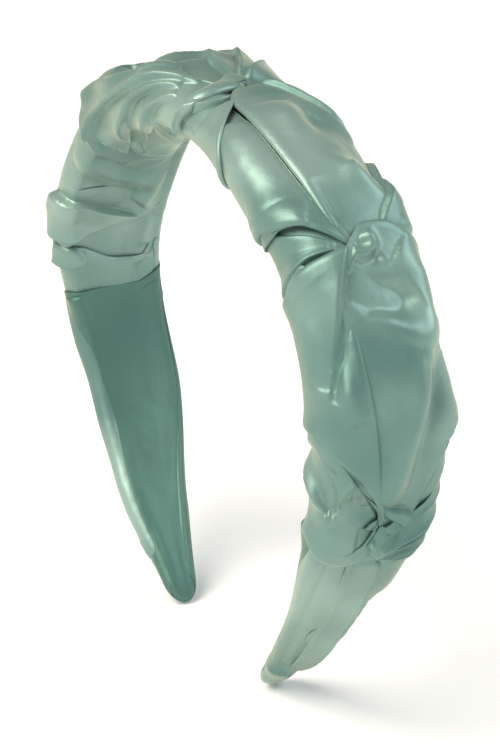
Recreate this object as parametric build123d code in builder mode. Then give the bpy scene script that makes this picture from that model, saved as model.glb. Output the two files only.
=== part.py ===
"""A wide satin headband, twisted into five knots, built up in layers as it is sewn and glued.

Frame: +Z up, +X to the right leg, +Y to the back edge. The origin is the head seat: the middle of
the crown, on the face of the satin that rests on the head, with both legs hanging below it.

Every layer follows one arch made of tangent arcs. A place on it is its arc length s from the middle
of the crown (negative on the left leg) and its height r above the inner face of the stiff core.
The springy band bends as three rigid lengths, joined by a flexing line beside each high knot.
"""

import os
from math import cos, pi, radians, sin, tan

from build123d import *

# --- arch of the core's inner face, from the crown down to a tip (mm, degrees) ---
CROWN_RADIUS, CROWN_ANGLE = 69.4, 61.4
TEMPLE_RADIUS, TEMPLE_ANGLE = 50.0, 49.6
LEG_RADIUS, LEG_ANGLE = 125.6, 23.9
TIP_LENGTH = 15.5  # straight length at the end of each leg

# --- stiff core strip and the wadding glued on it ---
CORE_THICKNESS = 1.8
CORE_HALF_WIDTH = 12.5
CORE_TIP_HALF_WIDTH = 3.4
TAPER_START = 84.0  # arc length at which the legs start to narrow
PAD_THICKNESS = 3.0
PAD_EDGE = 1.5  # the wadding stops this far inside the core's edges
PAD_END = 128.0  # arc length at which the wadding stops on each leg

# --- the two satin strips, front and back, and the knots in which they cross ---
KNOT_PITCH = 51.0
KNOT_OFFSET = 9.0  # the top knot sits this far to the right of the crown's middle
KNOT_LENGTH = 10.0
TOP_KNOT_THICKNESS = 9.8  # knots and panels are measured from the head face outwards
HIGH_KNOT_THICKNESS = 15.6
LOW_KNOT_THICKNESS = 11.0
TIP_THICKNESS = 4.4
PANEL_DROP = 1.2  # a panel is this much lower than the knot that it runs into
PANEL_SWELL = 0.8  # and rises by this much halfway to the next knot
KNOT_SIDE = 2.0  # how far a knot stands out past the core's edges
PANEL_SIDE = 4.5  # how far a panel stands out halfway between two knots
TIP_SIDE = 0.9
INNER_LAYER = 0.9  # thickness of the satin that lies between the core and the head
SLIT = 0.6  # open line between the front strip and the back strip
FACING_THICKNESS = 0.8

# --- how far each leg springs outwards, and the room that its satin needs for that ---
FLEX_RANGE = 15.0
FLEX_MARGIN = 1.0  # degrees by which the open wedge is wider than the range
FLEX_SLOT = 0.4

# --- clearances and rounding ---
LAYER_GAP = 0.15
PIECE_GAP = 0.4
LARGEST_CORNER = 3.0
CORNER_SHARE = 0.4  # a section's corner radius as a share of its smaller side

STATION_STEP = 9.0  # spacing of a loft's sections along the arch
LONG = 200.0  # longer than any part of the headband, for cuts

ARCS = ((CROWN_RADIUS, CROWN_ANGLE), (TEMPLE_RADIUS, TEMPLE_ANGLE), (LEG_RADIUS, LEG_ANGLE))
ARC_LENGTHS = tuple(radius * radians(angle) for radius, angle in ARCS)
ARC_ENDS = tuple(sum(ARC_LENGTHS[: n + 1]) for n in range(len(ARCS)))
HALF_LENGTH = ARC_ENDS[-1] + TIP_LENGTH
HEAD_FACE = -(LAYER_GAP + INNER_LAYER)
PAD_TOP = CORE_THICKNESS + PAD_THICKNESS

KNOT_NAMES = ("knot_left_low", "knot_left_high", "knot_top", "knot_right_high", "knot_right_low")
KNOTS = tuple(KNOT_OFFSET + KNOT_PITCH * n for n in (-2, -1, 0, 1, 2))
STRETCHES = ("left_end", "left_temple", "left_crown", "right_crown", "right_temple", "right_end")
CLEAR_OF_KNOT = KNOT_LENGTH / 2 + PIECE_GAP
STRETCH_ENDS = (-HALF_LENGTH - TIP_SIDE, *KNOTS, HALF_LENGTH + TIP_SIDE)
FLEX_LEFT = KNOTS[1] - CLEAR_OF_KNOT + PIECE_GAP / 2  # just outside the left high knot
FLEX_RIGHT = KNOTS[3] - CLEAR_OF_KNOT + PIECE_GAP / 2  # just inside the right high knot
BODIES = {
    "left_leg": (-HALF_LENGTH, FLEX_LEFT),
    "crown": (FLEX_LEFT, FLEX_RIGHT),
    "right_leg": (FLEX_RIGHT, HALF_LENGTH),
}


def arch_place(s):
    """x, z and heading (radians, turned down from +X) of the arch at arc length s."""
    rest = abs(s)
    x, z, heading = 0.0, -HEAD_FACE, 0.0
    for (radius, _), length in zip(ARCS, ARC_LENGTHS):
        turn = min(rest, length) / radius
        x += radius * (sin(heading + turn) - sin(heading))
        z += radius * (cos(heading + turn) - cos(heading))
        heading += turn
        rest -= min(rest, length)
    x += rest * cos(heading)
    z -= rest * sin(heading)
    side = 1.0 if s >= 0 else -1.0
    return side * x, z, side * heading


def arch_point(s, r):
    """The point at arc length s and height r, in the XZ plane."""
    x, z, heading = arch_place(s)
    return x + r * sin(heading), z + r * cos(heading)


def across(s, r):
    """Plane square to the arch: its x runs along +Y and its y points away from the head."""
    x, z = arch_point(s, r)
    heading = arch_place(s)[2]
    return Plane(origin=(x, 0, z), x_dir=(0, 1, 0), z_dir=(cos(heading), 0, -sin(heading)))


def arch_strip(start, end, low, high):
    """Side view of one layer: from arc length start to end, and from height low to high."""
    inside = sorted(side * e for side in (-1, 1) for e in ARC_ENDS if start < side * e < end)
    stops = [start, *inside, end]
    with BuildSketch(Plane.XZ) as strip:
        with BuildLine():
            for r in (low, high):
                for a, b in zip(stops, stops[1:]):
                    if min(abs(a), abs(b)) >= ARC_ENDS[-1]:
                        Line(arch_point(a, r), arch_point(b, r))
                    else:
                        ThreePointArc(arch_point(a, r), arch_point((a + b) / 2, r), arch_point(b, r))
            Line(arch_point(start, low), arch_point(start, high))
            Line(arch_point(end, low), arch_point(end, high))
        make_face()
    return strip.sketch


def taper_outline(extra):
    """View along X of a layer that stands out from the core's edges by extra, both legs alike."""
    wide, narrow = CORE_HALF_WIDTH + extra, CORE_TIP_HALF_WIDTH + extra
    shoulder = arch_place(TAPER_START)[1]
    foot = arch_place(HALF_LENGTH)[1] - extra
    with BuildSketch(Plane.YZ) as outline:
        with BuildLine():
            Polyline((-narrow, foot + narrow), (-wide, shoulder), (-wide, LONG), (wide, LONG),
                     (wide, shoulder), (narrow, foot + narrow))
            ThreePointArc((narrow, foot + narrow), (0, foot), (-narrow, foot + narrow))
        make_face()
    return outline.sketch


def core_half_width(s):
    """Half width of the core at arc length s."""
    shoulder = arch_place(TAPER_START)[1]
    foot = arch_place(HALF_LENGTH)[1] + CORE_TIP_HALF_WIDTH
    share = min(max((shoulder - arch_place(s)[1]) / (shoulder - foot), 0.0), 1.0)
    return CORE_HALF_WIDTH + share * (CORE_TIP_HALF_WIDTH - CORE_HALF_WIDTH)


def ease(value, start, end, at_start, at_end):
    """at_start where value is start, at_end where it is end, and a smooth rise between them."""
    share = min(max((value - start) / (end - start), 0.0), 1.0)
    return at_start + (at_end - at_start) * (1 - cos(pi * share)) / 2


def satin_thickness(s):
    """Thickness of the whole headband at arc length s, from the head face to the top of a knot."""
    away = abs(s - KNOT_OFFSET)
    tip = HALF_LENGTH - KNOT_OFFSET if s > KNOT_OFFSET else HALF_LENGTH + KNOT_OFFSET
    if away < KNOT_PITCH:
        return ease(away, 0, KNOT_PITCH, TOP_KNOT_THICKNESS, HIGH_KNOT_THICKNESS)
    if away < 2 * KNOT_PITCH:
        return ease(away, KNOT_PITCH, 2 * KNOT_PITCH, HIGH_KNOT_THICKNESS, LOW_KNOT_THICKNESS)
    return ease(away, 2 * KNOT_PITCH, tip, LOW_KNOT_THICKNESS, TIP_THICKNESS)


def between_knots(s):
    """0 at a knot and 1 halfway to the next; past the low knots it stays 0."""
    away = abs(s - KNOT_OFFSET) / KNOT_PITCH
    return sin(pi * (away % 1.0)) if away < 2 else 0.0


def panel_top(s):
    fade = min(max((HALF_LENGTH - abs(s)) / KNOT_PITCH, 0.0), 1.0)
    return HEAD_FACE + satin_thickness(s) - PANEL_DROP * fade + PANEL_SWELL * between_knots(s)


def panel_side(s):
    fade = min(max((HALF_LENGTH - abs(s)) / KNOT_PITCH, 0.0), 1.0)
    return TIP_SIDE + fade * (KNOT_SIDE - TIP_SIDE) + (PANEL_SIDE - KNOT_SIDE) * between_knots(s)


def rounded_length(start, end, low, top, side):
    """Loft of rounded sections along the arch; low, top and side are functions of s."""
    count = max(3, round((end - start) / STATION_STEP) + 1)
    with BuildPart() as length:
        for n in range(count):
            s = start + (end - start) * n / (count - 1)
            width, height = 2 * (core_half_width(s) + side(s)), top(s) - low(s)
            with BuildSketch(across(s, (low(s) + top(s)) / 2)):
                RectangleRounded(width, height, min(LARGEST_CORNER, CORNER_SHARE * min(width, height)))
        loft()
    return length.part


def make_layer(start, end, low, high, edge):
    """One flat layer of the band, from start to end and low to high, edge wider than the core."""
    with BuildPart() as layer:
        extrude(arch_strip(start, end, low, high), amount=LONG / 2, both=True)
        extrude(taper_outline(edge), amount=LONG, both=True, mode=Mode.INTERSECT)
    return layer.part


def make_inside():
    """The room that the core and the wadding take up inside the satin, with a small gap."""
    reach = HALF_LENGTH + LAYER_GAP
    with BuildPart() as inside:
        add(make_layer(-reach, reach, -LAYER_GAP, CORE_THICKNESS + LAYER_GAP, LAYER_GAP))
        add(make_layer(-PAD_END, PAD_END, CORE_THICKNESS, PAD_TOP + LAYER_GAP, LAYER_GAP - PAD_EDGE))
    return inside.part


def make_flex_wedge(s):
    """The V-shaped room in which a leg can spring outwards; its point is on the core's inner face."""
    opening = tan(radians((FLEX_RANGE + FLEX_MARGIN) / 2)) * LONG / 4
    with BuildPart() as wedge:
        with BuildSketch(Plane(origin=across(s, 0).origin, x_dir=across(s, 0).z_dir, z_dir=(0, -1, 0))):
            with BuildLine():
                Polyline(
                    (-FLEX_SLOT / 2, -LONG / 20), (FLEX_SLOT / 2, -LONG / 20), (FLEX_SLOT / 2, 0),
                    (FLEX_SLOT / 2 + opening, LONG / 4), (-FLEX_SLOT / 2 - opening, LONG / 4),
                    (-FLEX_SLOT / 2, 0), close=True,
                )
            make_face()
        extrude(amount=LONG / 2, both=True)
    return wedge.part


def cut_clear(shape, name, cutters):
    """A copy of the shape with the cutters taken out, labelled and written as one STEP file."""
    with BuildPart() as piece:
        add(shape)
        for cutter in cutters:
            add(cutter, mode=Mode.SUBTRACT)
    piece.part.label = name
    export_step(piece.part, f"parts/{name}.step")
    return piece.part


def half_space(side):
    """Everything that a front strip (side 1) or a back strip (side -1) has to leave free."""
    with BuildPart() as space:
        with BuildSketch(Plane.XZ.offset(side * SLIT / 2)):
            Rectangle(2 * LONG, 2 * LONG)
        extrude(amount=-side * LONG / 2)
    return space.part


def make_core(name, start, end, wedges):
    cut_clear(make_layer(start, end, 0, CORE_THICKNESS, 0), name, wedges)


def make_foam(name, start, end, wedges):
    span = (max(start, -PAD_END), min(end, PAD_END))
    cut_clear(make_layer(*span, CORE_THICKNESS, PAD_TOP, -PAD_EDGE), name, wedges)


def make_knot(name, s, inside, wedges):
    """Both strips drawn together: narrower than the panels beside it, and the tallest in its middle."""
    def waist(at):
        return 1 - abs(at - s) / (KNOT_LENGTH / 2)

    knot = rounded_length(
        s - KNOT_LENGTH / 2,
        s + KNOT_LENGTH / 2,
        low=lambda at: HEAD_FACE,
        top=lambda at: HEAD_FACE + satin_thickness(at) - PANEL_DROP * (1 - waist(at)),
        side=lambda at: KNOT_SIDE,
    )
    cut_clear(knot, name, [inside, *wedges])


def make_panels(stretch, start, end, inside, wedges):
    """The front and the back strip between two knots, or between the last knot and a tip."""
    on_facing = stretch.endswith("end")
    whole = rounded_length(
        start,
        end,
        low=lambda at: 0.0 if on_facing else HEAD_FACE,
        top=panel_top,
        side=panel_side,
    )
    for word, side in (("front", -1), ("back", 1)):
        cut_clear(whole, f"{word}_strip_{stretch}", [half_space(-side), inside, *wedges])


def make_facing(name, side):
    """Smooth satin glued last over the head side of a leg, from just below its low knot to the tip."""
    top = abs(KNOTS[0] if side < 0 else KNOTS[-1]) + CLEAR_OF_KNOT
    span = sorted((side * top, side * HALF_LENGTH))
    high = -LAYER_GAP
    cut_clear(make_layer(*span, high - FACING_THICKNESS, high, TIP_SIDE), name, [])


def main():
    os.makedirs("parts", exist_ok=True)
    inside = make_inside()
    wedges = [make_flex_wedge(FLEX_LEFT), make_flex_wedge(FLEX_RIGHT)]
    for body, (start, end) in BODIES.items():
        make_core(f"core_{body}", start, end, wedges)
        make_foam(f"foam_{body}", start, end, wedges)
    for name, s in zip(KNOT_NAMES, KNOTS):
        make_knot(name, s, inside, wedges)
    for number, stretch in enumerate(STRETCHES):
        start, end = STRETCH_ENDS[number], STRETCH_ENDS[number + 1]
        if number > 0:
            start += CLEAR_OF_KNOT
        if number < len(STRETCHES) - 1:
            end -= CLEAR_OF_KNOT
        make_panels(stretch, start, end, inside, wedges)
    make_facing("facing_left", -1)
    make_facing("facing_right", 1)


main()
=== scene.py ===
# %% [markdown]
# # A knotted satin headband
# A hard headband is a springy plastic arch with a layer of wadding on it. Two wide satin strips,
# one along the front edge and one along the back, are laid over the wadding. They cross in a row of
# knots, and a smooth facing closes the head side of each leg. This lesson builds the satin round
# the fixed core, piece by piece, and then gives it its cloth.

import bpy
import numpy as np
from mathutils import Matrix, Vector


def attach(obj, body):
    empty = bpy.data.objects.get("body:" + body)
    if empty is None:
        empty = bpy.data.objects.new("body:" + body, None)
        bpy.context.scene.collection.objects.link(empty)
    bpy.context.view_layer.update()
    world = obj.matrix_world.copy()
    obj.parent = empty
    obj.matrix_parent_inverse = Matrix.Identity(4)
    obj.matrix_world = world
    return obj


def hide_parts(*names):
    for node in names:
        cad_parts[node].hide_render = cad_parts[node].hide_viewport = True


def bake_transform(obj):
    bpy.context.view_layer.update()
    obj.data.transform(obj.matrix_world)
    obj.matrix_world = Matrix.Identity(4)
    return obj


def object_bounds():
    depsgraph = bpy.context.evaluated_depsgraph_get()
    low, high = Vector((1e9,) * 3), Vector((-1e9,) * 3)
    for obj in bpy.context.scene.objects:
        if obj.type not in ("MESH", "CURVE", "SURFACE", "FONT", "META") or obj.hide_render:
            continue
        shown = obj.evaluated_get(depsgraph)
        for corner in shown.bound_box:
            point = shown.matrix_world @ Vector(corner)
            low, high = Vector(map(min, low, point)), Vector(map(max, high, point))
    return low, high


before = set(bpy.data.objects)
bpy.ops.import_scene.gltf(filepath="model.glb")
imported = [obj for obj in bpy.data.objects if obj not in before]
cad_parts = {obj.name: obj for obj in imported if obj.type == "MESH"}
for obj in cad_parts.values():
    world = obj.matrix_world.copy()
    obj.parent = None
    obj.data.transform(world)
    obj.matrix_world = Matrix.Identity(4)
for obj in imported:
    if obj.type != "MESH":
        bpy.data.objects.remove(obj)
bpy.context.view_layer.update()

# %% [markdown]
# ## The arch
# The whole object follows one curve: the inner face of the plastic core, seen from the front. On
# the real thing a mould gives it three arcs and a straight tip on each side. It could be a Bezier
# curve, but arcs are what the core was made from, so every layer that follows them fits exactly.
# A place on the band is its arc length s from the middle of the crown, in millimetres.

# %% The arch as a function of arc length
MM = 0.001
ARCS = ((69.4, 61.4), (50.0, 49.6), (125.6, 23.9))  # radius in mm and turn in degrees
HALF_LENGTH = 187.2
HEAD_FACE = -1.05  # height of the satin that touches the head, below the core's inner face


def arch(s):
    """x, z and heading at arc length s: each arc in turn adds its chord, then the tip runs straight."""
    rest = np.abs(s)
    x = np.zeros_like(rest)
    z = np.full_like(rest, -HEAD_FACE)
    heading = np.zeros_like(rest)
    for radius, degrees in ARCS:
        step = np.minimum(rest, radius * np.radians(degrees))
        turned = heading + step / radius
        x += radius * (np.sin(turned) - np.sin(heading))
        z += radius * (np.cos(turned) - np.cos(heading))
        heading, rest = turned, rest - step
    x += rest * np.cos(heading)
    z -= rest * np.sin(heading)
    side = np.where(s < 0, -1.0, 1.0)
    return side * x, z, side * heading


def through(s, places, values):
    """A smooth curve through the values at the places, with no overshoot: cubic pieces whose slope
    at each place is the harmonic mean of the slopes on both sides, or zero at a peak."""
    places, values = np.array(places, float), np.array(values, float)
    rise = np.diff(values) / np.diff(places)
    slope = np.zeros_like(values)
    same = rise[:-1] * rise[1:] > 0
    slope[1:-1][same] = 2 * rise[:-1][same] * rise[1:][same] / (rise[:-1] + rise[1:])[same]
    s = np.clip(s, places[0], places[-1])
    k = np.clip(np.searchsorted(places, s) - 1, 0, len(places) - 2)
    wide = places[k + 1] - places[k]
    t = (s - places[k]) / wide
    return (values[k] * (1 + 2 * t) * (1 - t) ** 2 + values[k + 1] * t**2 * (3 - 2 * t)
            + wide * (slope[k] * t * (1 - t) ** 2 - slope[k + 1] * t**2 * (1 - t)))


def eased(x):
    """From 0 to 1 with no corner at either end: x squared times three minus two x, level outside."""
    x = np.clip(x, 0, 1)
    return x * x * (3 - 2 * x)


KNOTS = {"left_low": -93.0, "left_high": -42.0, "top": 9.0, "right_high": 60.0, "right_low": 111.0}
print("arch height", round(float(arch(np.array([HALF_LENGTH]))[1][0]), 1), "mm at the tips")

# %% [markdown]
# ## The stuffed shape under the satin
# The satin doesn't lie on the core: air and wadding hold it up, most at the temples. Its section is
# nearly flat on the head side and crowned outside. The second coordinate, u, runs round that
# section: 0 on the crest, -1 on the front edge, 1 on the back edge, and 2 or -2 in the middle of
# the head side. With s and u, a fold can be placed anywhere on the satin as on a map.

# %% Section sizes along the arch
SIZE_AT = (-186, -160, -125, -93, -68, -42, -16, 9, 35, 60, 86, 111, 133, 160, 186)
HALF_FRONT = (4.0, 6.2, 7.6, 12.2, 14.8, 14.2, 15.0, 14.2, 14.8, 13.4, 14.4, 13.0, 11.0, 7.6, 4.6)
HALF_BACK = (3.8, 8.6, 15.4, 13.6, 14.8, 13.8, 14.8, 13.8, 14.4, 13.0, 14.6, 12.6, 8.4, 5.4, 4.0)
TOP_AT = (2.6, 3.2, 5.4, 9.0, 11.4, 12.0, 9.6, 7.4, 10.2, 13.2, 11.8, 9.0, 6.3, 3.6, 2.9)
CORNER = 1.8  # rounding between the edge and the head side
CORNER_SPAN = 0.25  # the share of u that goes round this corner
EDGE_HEIGHT = 0.32  # the edge's height as a share of the crest's
FULLNESS = 0.9  # below 1 the section is fuller than an ellipse
TIP_ROUND = 6.0  # the last millimetres of each leg close to a rounded end
TIP_CLOSED = 0.995  # the share of the section that is gone at the very tip


def quarter_length(s):
    """Length in mm of one unit of u: about a quarter of an ellipse with the section's half axes."""
    wide = through(s, SIZE_AT, HALF_FRONT)
    high = through(s, SIZE_AT, TOP_AT)
    return np.pi / 2 * np.sqrt((wide**2 + high**2) / 2)


def band(s, u):
    """The stuffed shape at (s, u) in mm: a crowned half ellipse outside, a flat face with round
    corners on the head side, set square to the arch."""
    u = (u + 2) % 4 - 2
    x, z, heading = arch(s)
    half = np.where(u < 0, through(s, SIZE_AT, HALF_FRONT), through(s, SIZE_AT, HALF_BACK))
    top = through(s, SIZE_AT, TOP_AT)
    edge = EDGE_HEIGHT * top
    turn = np.abs(u) * np.pi / 2
    out_y = half * np.abs(np.sin(turn)) ** FULLNESS
    out_r = edge + (top - edge) * np.abs(np.cos(np.minimum(turn, np.pi / 2))) ** FULLNESS
    inward = np.clip(np.abs(u) - 1, 0, 1)
    corner = np.minimum(CORNER, 0.6 * half)
    bend = np.clip(inward / CORNER_SPAN, 0, 1) * np.pi / 2
    flat = np.clip((inward - CORNER_SPAN) / (1 - CORNER_SPAN), 0, 1)
    in_y = (half - corner + corner * np.cos(bend)) * (1 - flat)
    in_y = np.where(flat > 0, (half - corner) * (1 - flat), in_y)
    in_r = edge - (edge - HEAD_FACE) * np.sin(bend)
    y = np.sign(u) * np.where(np.abs(u) <= 1, out_y, in_y)
    r = np.where(np.abs(u) <= 1, out_r, in_r)
    near_tip = np.clip((np.abs(s) - HALF_LENGTH + TIP_ROUND) / TIP_ROUND, 0, 1)
    closed = np.sqrt(1 - near_tip**2 * TIP_CLOSED)
    y = y * closed
    r = edge + (r - edge) * closed
    return np.stack([x + r * np.sin(heading), y, z + r * np.cos(heading)], -1)


STEP_S, STEP_U = 0.5, 0.02  # small steps that give the shape's slope


def skin(s, u, lift, along, round_):
    """A point of satin: the stuffed shape, moved along its own normal by lift, along the arch by
    along, and round the section by round_, all in mm. The normal comes from small steps in s and u."""
    s, u = np.broadcast_arrays(np.asarray(s, float), np.asarray(u, float))
    by_s = band(s + STEP_S, u) - band(s - STEP_S, u)
    by_u = band(s, u + STEP_U) - band(s, u - STEP_U)
    by_s /= np.linalg.norm(by_s, axis=-1, keepdims=True)
    by_u /= np.maximum(np.linalg.norm(by_u, axis=-1, keepdims=True), 1e-9)
    normal = np.cross(by_s, by_u)
    normal /= np.maximum(np.linalg.norm(normal, axis=-1, keepdims=True), 1e-9)
    put = np.asarray(lift)[..., None] * normal
    put = put + np.asarray(along)[..., None] * by_s + np.asarray(round_)[..., None] * by_u
    return band(s, u) + put


print("widest", 2 * max(HALF_FRONT), "mm and highest", max(TOP_AT), "mm")

# %% [markdown]
# ## Cloth pieces
# Each length of satin is a patch with four edges, drawn on the (s, u) map. An edge that shows is a
# folded hem on the real strip: the cloth turns round a small radius and runs back under itself. A
# simulation would give soft folds but wouldn't put them where a maker's hands did, so the patches
# are formed from their edges, and every crease and pleat is laid on them as a line with a height.

# %% A curve through a few points, and a patch between four of them
UNIT_OF_U = 18  # about how many millimetres one unit of u is, for spacing and for long waves


def route(points, shares):
    """The points at the given shares of a smooth line through the given ones."""
    points = np.array(points, float)
    gaps = np.linalg.norm(np.diff(points * (1, UNIT_OF_U), axis=0), axis=1)
    at = np.concatenate([[0], np.cumsum(np.maximum(gaps, 1e-6))])
    t = shares * at[-1]
    return np.stack([through(t, at, points[:, 0]), through(t, at, points[:, 1])], -1)


def closer_at_ends(count):
    """Shares from 0 to 1 that lie closer together at both ends: four parts even, six a cosine."""
    even = np.linspace(0, 1, count)
    return 0.4 * even + 0.6 * (0.5 - 0.5 * np.cos(np.pi * even))


def coons(start, end, low, high, rows, columns):
    """The (s, u) of a patch from its four edges: the two ruled surfaces between opposite edges
    are added, and the flat one through the four corners is taken away."""
    a, b = closer_at_ends(rows), closer_at_ends(columns)
    start, end = route(start, b)[None], route(end, b)[None]
    low, high = route(low, a)[:, None], route(high, a)[:, None]
    a, b = a[:, None, None], b[None, :, None]
    corners = ((1 - a) * (1 - b) * start[:, :1] + (1 - a) * b * start[:, -1:]
               + a * (1 - b) * end[:, :1] + a * b * end[:, -1:])
    return (1 - a) * start + a * end + (1 - b) * low + b * high - corners


print("shares of 5 rows", closer_at_ends(5).round(2).tolist())

# %% [markdown]
# ## Creases
# A crease is a line on the map with a profile across it. A fold is high on its left side and drops
# at once on its right, where it lies over the cloth below and leans out over it. A ridge and a
# valley are soft on both sides. Sculpting by hand would give the same, but it couldn't be repeated.

# %% Profiles across a line
FOLD_DROP = 1.2  # mm over which a fold's edge falls
FOLD_GAIN, RIDGE_GAIN = 1.7, 1.3  # every crease is this much higher than its mark says
HOLLOW_SHARE, HOLLOW_REACH = 0.3, 1.6  # depth of the hollow beside a fold, and its reach in mm
LEAN_SHARE, LEAN_REACH = 0.45, 1.3  # how far a fold leans out over the cloth below
LINE_SAMPLES = 240


def crease_field(s, u, line):
    """Distance in mm from the line (positive on its left), and the share of its length at the
    nearest point: the nearest of many samples of the line, measured on the unrolled satin."""
    samples = route(line, np.linspace(0, 1, LINE_SAMPLES))
    unit = quarter_length(s)
    across = (u[..., None] - samples[:, 1]) * unit[..., None]
    along = s[..., None] - samples[:, 0]
    nearest = np.argmin(along**2 + across**2, -1)
    direction = np.gradient(samples, axis=0)
    ahead, aside = direction[nearest, 0], direction[nearest, 1] * unit
    size = np.hypot(ahead, aside) + 1e-9
    x = np.take_along_axis(along, nearest[..., None], -1)[..., 0]
    y = np.take_along_axis(across, nearest[..., None], -1)[..., 0]
    distance = (ahead * y - aside * x) / size
    beyond = (nearest == 0) | (nearest == LINE_SAMPLES - 1)
    distance = np.where(beyond, np.hypot(x, y) * np.where(distance >= 0, 1, -1), distance)
    return distance, nearest / (LINE_SAMPLES - 1), np.stack([ahead, aside], 0) / size


def crease(s, u, kind, line, height, soft, fade):
    """Lift, shift along and shift round of one crease. A fold rises towards its line as e to the
    minus distance over soft, falls within FOLD_DROP, and leaves a shallow shadow line beside it; a
    ridge is a bell of the distance over soft, and a pinch a sharp tent of it. All die out over the
    shares in fade at the ends."""
    distance, share, direction = crease_field(s, u, line)
    begin, finish = (max(part, 1e-3) for part in fade)
    size = np.clip(share / begin, 0, 1) * np.clip((1 - share) / finish, 0, 1)
    size = height * size**0.7 * (FOLD_GAIN if kind == "fold" else RIDGE_GAIN)
    if kind == "ridge":
        return size * np.exp(-((distance / soft) ** 2)), 0.0, 0.0
    if kind == "pinch":
        return size * np.exp(-np.abs(distance) / soft), 0.0, 0.0
    high = np.exp(-np.maximum(distance, 0) / soft)
    edge = eased((distance + FOLD_DROP) / FOLD_DROP)
    hollow = np.where(distance < 0, -HOLLOW_SHARE * np.exp(distance / HOLLOW_REACH), 0)
    lift = size * (high * edge + hollow * (1 - edge))
    lean = LEAN_SHARE * size * np.exp(-((distance - 0.3) / LEAN_REACH) ** 2)
    return lift, lean * direction[1], -lean * direction[0]


RUMPLE_HEIGHT, RUMPLE_WAVES = 0.28, 5
GATHER_DEPTH, GATHER_SPREAD = 1.0, 30.0  # in mm and square mm


def rumple(s, u, seed):
    """Soft unevenness of hand-laid cloth: a few crossing sine waves, each 15 to 40 mm long, the
    shorter ones lower and turned by 2.4 radians from the one before."""
    wave = np.zeros_like(s)
    for n in range(RUMPLE_WAVES):
        turn, size = 2.4 * n + seed, 0.16 + 0.045 * n
        place = s * np.cos(turn) + UNIT_OF_U * u * np.sin(turn)
        wave += np.sin(size * place + 1.7 * n * seed) / (1 + n)
    return RUMPLE_HEIGHT * wave


def gather(s, u):
    """Satin is drawn in towards every knot: a round hollow 7 mm wide at each knot's middle."""
    pull = np.zeros_like(s)
    for place in KNOTS.values():
        away = (s - place) ** 2 + (u * quarter_length(s)) ** 2
        pull -= GATHER_DEPTH * np.exp(-away / GATHER_SPREAD)
    return pull


print("a fold falls over", FOLD_DROP, "mm; the cloth is drawn in at", len(KNOTS), "knots")

# %% [markdown]
# ## From map to mesh
# The patch becomes a mesh, with a rolled hem on each edge that asks for one. The roll is a quarter
# circle followed by a few millimetres of cloth going back underneath. The unrolled cloth is kept as
# the UV map in metres, so the weave can follow it, and a Solidify modifier gives the satin its
# thickness and closes it.

# %% Hems and meshes
HEM_ROUND, HEM_DROP = 2.0, 1.1  # a folded edge rounds down by 1.1 mm over its last 2 mm
HEM_RADIUS = 0.3
HEM_UNDER = 3.3
SATIN_THICKNESS = 0.22
INNER = -2.72  # the front strip's inner hem, just past the back edge on the head side
pieces, spans, cut_sizes = {}, {}, {}


def rolled(grid, lift):
    """Rounds the cloth down towards its last column by a quarter ellipse, then adds a hem after it:
    round a small radius and back under the cloth."""
    unit = quarter_length(grid[..., 0])
    steps = np.hypot(np.diff(grid[..., 0], axis=1), np.diff(grid[..., 1], axis=1) * unit[:, 1:])
    to_edge = np.concatenate([np.cumsum(steps[:, ::-1], 1)[:, ::-1], np.zeros_like(unit[:, :1])], 1)
    near = np.clip(1 - to_edge / HEM_ROUND, 0, 1)
    lift = lift - HEM_DROP * (1 - np.sqrt(1 - near**2))
    unit = unit[:, -1]
    out = (grid[:, -1] - grid[:, -6]) * np.stack([np.ones_like(unit), unit], -1)
    out /= np.maximum(np.linalg.norm(out, axis=-1, keepdims=True), 1e-9)
    turn = np.radians([30, 60, 90])
    away = -np.concatenate([HEM_RADIUS * (1 - np.cos(turn)), HEM_UNDER * np.array([0.3, 0.65, 1.0])])
    down = -np.concatenate([HEM_RADIUS * np.sin(turn), HEM_RADIUS * np.array([1.0, 1.0, 0.8])])
    room = np.clip((HALF_LENGTH - np.abs(grid[:, -1, 0])) / (2 * TIP_ROUND), 0.01, 1)[:, None, None]
    step = out[:, None] * away[None, :, None] * room / np.stack([np.ones_like(unit), unit], -1)[:, None]
    return (np.concatenate([grid, grid[:, -1:] + step], 1),
            np.concatenate([lift, lift[:, -1:] + down[None]], 1))


def make_mesh(name, points, flat, flip):
    """A mesh of quads from a grid of points in metres, with flat as its UV map."""
    rows, columns = points.shape[:2]
    index = np.arange(rows * columns).reshape(rows, columns)
    quads = np.stack([index[:-1, :-1], index[1:, :-1], index[1:, 1:], index[:-1, 1:]], -1).reshape(-1, 4)
    if flip:
        quads = quads[:, ::-1]
    mesh = bpy.data.meshes.new(name)
    mesh.from_pydata(points.reshape(-1, 3).tolist(), [], quads.tolist())
    uv = mesh.uv_layers.new(name="cloth")
    uv.data.foreach_set("uv", flat.reshape(-1, 2)[quads.reshape(-1)].astype(np.float32).ravel())
    mesh.polygons.foreach_set("use_smooth", np.ones(len(quads), bool))
    mesh.update()
    piece = bpy.data.objects.new(name if name.startswith("wadding") else "satin_" + name, mesh)
    bpy.context.scene.collection.objects.link(piece)
    pieces[name] = piece
    return piece


def hemmed(grid, lift, hems):
    """The patch with a rolled hem on each named edge, which is turned to be the last column first."""
    if "high" in hems:
        grid, lift = rolled(grid, lift)
    if "low" in hems:
        grid, lift = (g[:, ::-1] for g in rolled(grid[:, ::-1], lift[:, ::-1]))
    if "end" in hems:
        grid, lift = (np.swapaxes(g, 0, 1) for g in rolled(np.swapaxes(grid, 0, 1), lift.T))
    if "start" in hems:
        grid, lift = rolled(np.swapaxes(grid, 0, 1)[:, ::-1], lift.T[:, ::-1])
        grid, lift = np.swapaxes(grid[:, ::-1], 0, 1), lift[:, ::-1].T
    return grid, lift


print("hems turn", HEM_UNDER, "mm under, round", HEM_RADIUS, "mm")

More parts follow.
